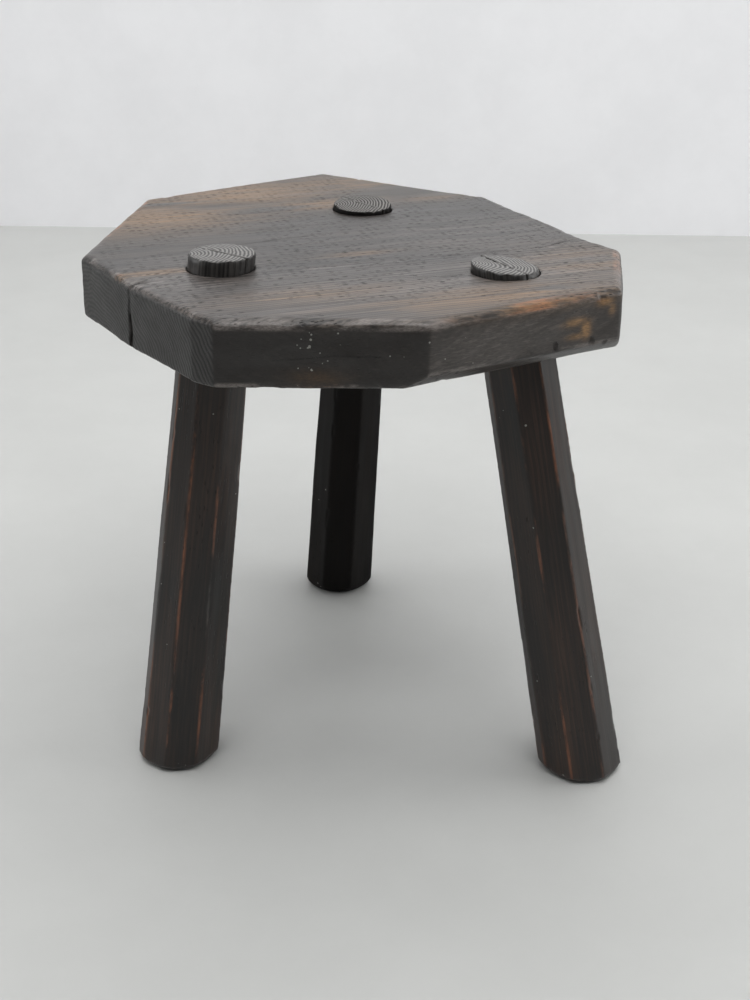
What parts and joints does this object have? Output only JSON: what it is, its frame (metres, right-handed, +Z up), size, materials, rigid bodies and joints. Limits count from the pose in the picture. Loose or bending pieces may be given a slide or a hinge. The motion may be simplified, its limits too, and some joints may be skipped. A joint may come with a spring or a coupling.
{
  "type": "three-legged stool",
  "caption": "Low rustic stool: a thick eight-sided hewn plank on splayed, faceted legs with round through tenons, each wedged from above.",
  "frame": {"origin": "on the floor, under the middle of the whole stool's bounding box", "axes": "+Z up; +Y towards the rear leg; +X to the right, as the stool is seen from the front with two legs nearest"},
  "size_m": [0.4255, 0.4424, 0.4115],
  "materials": {
    "seat_wood": "dark stained hardwood, worn and lightly polished on top, grey-brown",
    "leg_wood": "near-black stained hardwood, rubbed orange-brown along the edges",
    "wedge_wood": "grey-brown hardwood, end grain, satin"
  },
  "bodies": {
    "root": {"seat": "seat_wood", "leg_left": "leg_wood", "leg_right": "leg_wood", "leg_rear": "leg_wood", "wedge_left": "wedge_wood", "wedge_right": "wedge_wood", "wedge_rear": "wedge_wood"}
  },
  "joints": []
}
